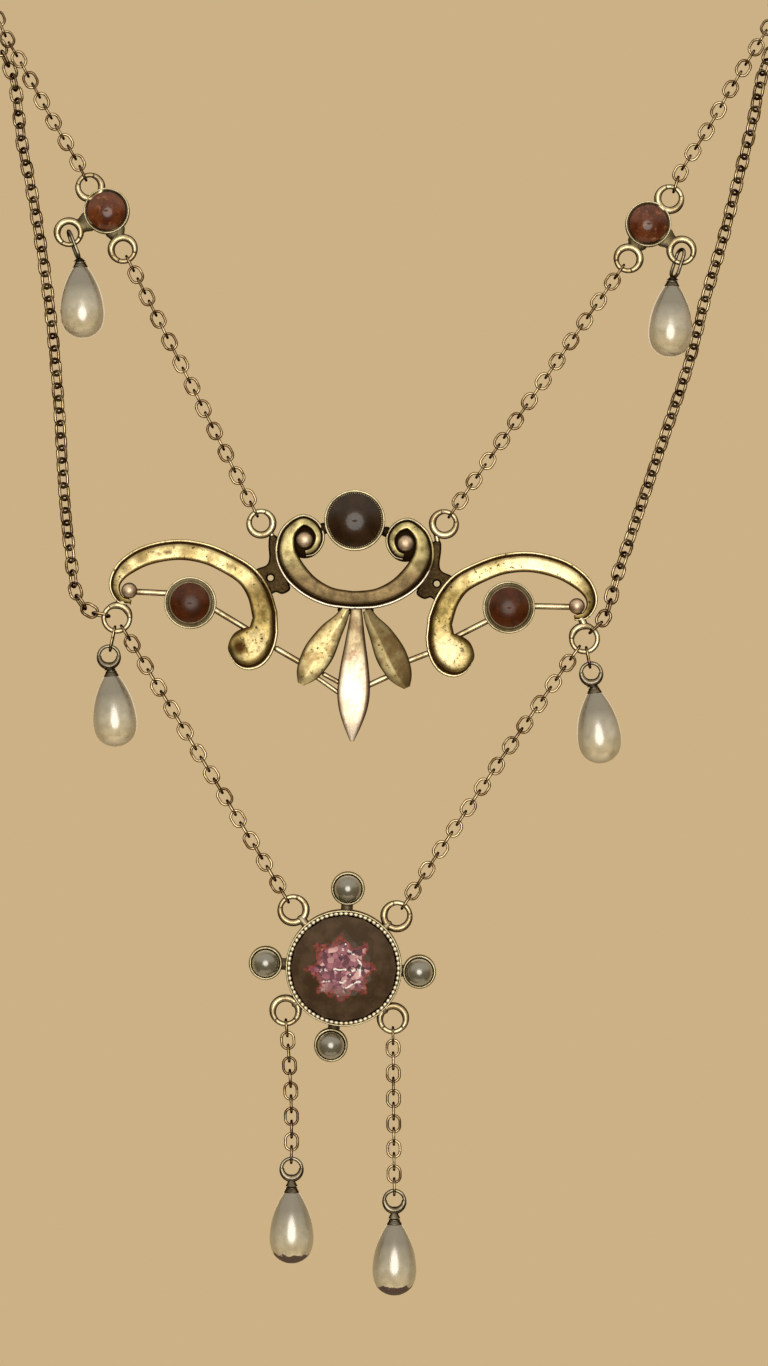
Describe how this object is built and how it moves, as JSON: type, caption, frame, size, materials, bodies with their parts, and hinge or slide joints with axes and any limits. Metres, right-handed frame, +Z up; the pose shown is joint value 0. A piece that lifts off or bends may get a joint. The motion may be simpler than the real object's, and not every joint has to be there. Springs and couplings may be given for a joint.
{
  "type": "lavaliere necklace",
  "caption": "Aged gold lavaliere necklace with a pierced scrollwork plaque, cabochon stones, a round paste pendant and pear-shaped pearl drops on fine trace chain.",
  "frame": {"origin": "the nape of the neck, where the clasp rests, at the highest point of the loop", "axes": "+Z up with the necklace hanging as worn, +X to the right seen from the front, the front faces -Y"},
  "size_m": [0.0956, 0.1166, 0.1624],
  "materials": {
    "bright_gold": "aged yellow gold, polished on the high places and tarnished brown in the recesses",
    "chain_gold": "aged darker gold wire",
    "cap_metal": "worn silvery gold",
    "black_stone": "polished cabochon",
    "red_stone": "polished dark red-brown cabochon",
    "amber_stone": "polished orange-brown cabochon",
    "paste_stone": "foiled faceted paste",
    "grey_pearl": "lustrous",
    "cream_pearl": "lustrous, a little translucent"
  },
  "bodies": {
    "root": {"plaque_frame": "bright_gold", "connector_left": "bright_gold", "connector_right": "bright_gold", "pendant_frame": "bright_gold", "plaque_stone_top": "black_stone", "plaque_stone_left": "red_stone", "plaque_stone_right": "red_stone", "connector_stone_left": "amber_stone", "connector_stone_right": "amber_stone", "pendant_stone": "paste_stone", "join_ring_left": "bright_gold", "join_ring_right": "bright_gold", "clasp": "bright_gold", "link_wing_left": "chain_gold", "link_wing_right": "chain_gold", "pendant_pearl_top": "grey_pearl", "pendant_pearl_left": "grey_pearl", "pendant_pearl_right": "grey_pearl", "pendant_pearl_bottom": "grey_pearl", "pearl_shoulder_left": "cream_pearl", "cap_shoulder_left": "cap_metal", "pearl_shoulder_right": "cream_pearl", "cap_shoulder_right": "cap_metal", "pearl_wing_left": "cream_pearl", "cap_wing_left": "cap_metal", "pearl_wing_right": "cream_pearl", "cap_wing_right": "cap_metal", "pearl_drop_left": "cream_pearl", "cap_drop_left": "cap_metal", "pearl_drop_right": "cream_pearl", "cap_drop_right": "cap_metal", "chain_upper_left": "chain_gold", "chain_upper_right": "chain_gold", "chain_lower_left": "chain_gold", "chain_lower_right": "chain_gold", "chain_v_left": "chain_gold", "chain_v_right": "chain_gold", "chain_drop_left": "chain_gold", "chain_drop_right": "chain_gold", "strand_outer_left": "chain_gold", "strand_outer_right": "chain_gold", "back_chain_left": "chain_gold", "back_chain_right": "chain_gold"}
  },
  "joints": []
}
